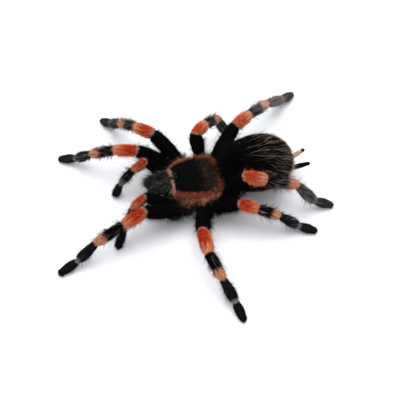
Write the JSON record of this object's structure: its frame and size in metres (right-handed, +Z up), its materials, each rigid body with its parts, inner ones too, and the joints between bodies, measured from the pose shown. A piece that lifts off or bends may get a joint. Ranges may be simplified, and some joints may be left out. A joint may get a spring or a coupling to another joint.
{
  "type": "red knee tarantula",
  "caption": "Still, life-size spider model with a hairy black body, orange knees and bent legs, standing on small foot flats.",
  "frame": {"origin": "on the floor, under the middle of the outline (feet and spinnerets included)", "axes": "+Z up; the spider faces -Y and its left side is +X"},
  "size_m": [0.101, 0.1098, 0.0241],
  "materials": {
    "black_velvet": "short black velvety hair",
    "orange_knee": "short orange-red hair, paler at the far end",
    "brown_plate": "hair-covered plate, black in the middle with a reddish brown margin",
    "grey_brown": "dark brownish grey hair",
    "pale_tip": "pale tan hair with a dark end",
    "eye_black": "glossy black",
    "fang_black": "glossy black horn"
  },
  "bodies": {
    "root": {"abdomen": "black_velvet", "carapace": "brown_plate", "chelicera_left": "grey_brown", "chelicera_right": "grey_brown", "eye_tubercle": "eye_black", "fang_left": "fang_black", "fang_right": "fang_black", "leg_1_left_femur": "black_velvet", "leg_1_left_metatarsus": "black_velvet", "leg_1_left_patella": "orange_knee", "leg_1_left_tarsus": "black_velvet", "leg_1_left_tibia": "black_velvet", "leg_1_right_femur": "black_velvet", "leg_1_right_metatarsus": "black_velvet", "leg_1_right_patella": "orange_knee", "leg_1_right_tarsus": "black_velvet", "leg_1_right_tibia": "black_velvet", "leg_2_left_femur": "black_velvet", "leg_2_left_metatarsus": "black_velvet", "leg_2_left_patella": "orange_knee", "leg_2_left_tarsus": "black_velvet", "leg_2_left_tibia": "black_velvet", "leg_2_right_femur": "black_velvet", "leg_2_right_metatarsus": "black_velvet", "leg_2_right_patella": "orange_knee", "leg_2_right_tarsus": "black_velvet", "leg_2_right_tibia": "black_velvet", "leg_3_left_femur": "black_velvet", "leg_3_left_metatarsus": "black_velvet", "leg_3_left_patella": "orange_knee", "leg_3_left_tarsus": "black_velvet", "leg_3_left_tibia": "black_velvet", "leg_3_right_femur": "black_velvet", "leg_3_right_metatarsus": "black_velvet", "leg_3_right_patella": "orange_knee", "leg_3_right_tarsus": "black_velvet", "leg_3_right_tibia": "black_velvet", "leg_4_left_femur": "black_velvet", "leg_4_left_metatarsus": "black_velvet", "leg_4_left_patella": "orange_knee", "leg_4_left_tarsus": "black_velvet", "leg_4_left_tibia": "black_velvet", "leg_4_right_femur": "black_velvet", "leg_4_right_metatarsus": "black_velvet", "leg_4_right_patella": "orange_knee", "leg_4_right_tarsus": "black_velvet", "leg_4_right_tibia": "black_velvet", "palp_left_femur": "black_velvet", "palp_left_patella": "orange_knee", "palp_left_tarsus": "black_velvet", "palp_left_tibia": "black_velvet", "palp_right_femur": "black_velvet", "palp_right_patella": "orange_knee", "palp_right_tarsus": "black_velvet", "palp_right_tibia": "black_velvet", "pedicel": "grey_brown", "spinneret_left": "pale_tip", "spinneret_right": "pale_tip", "sternum_and_coxae": "grey_brown"}
  },
  "joints": []
}
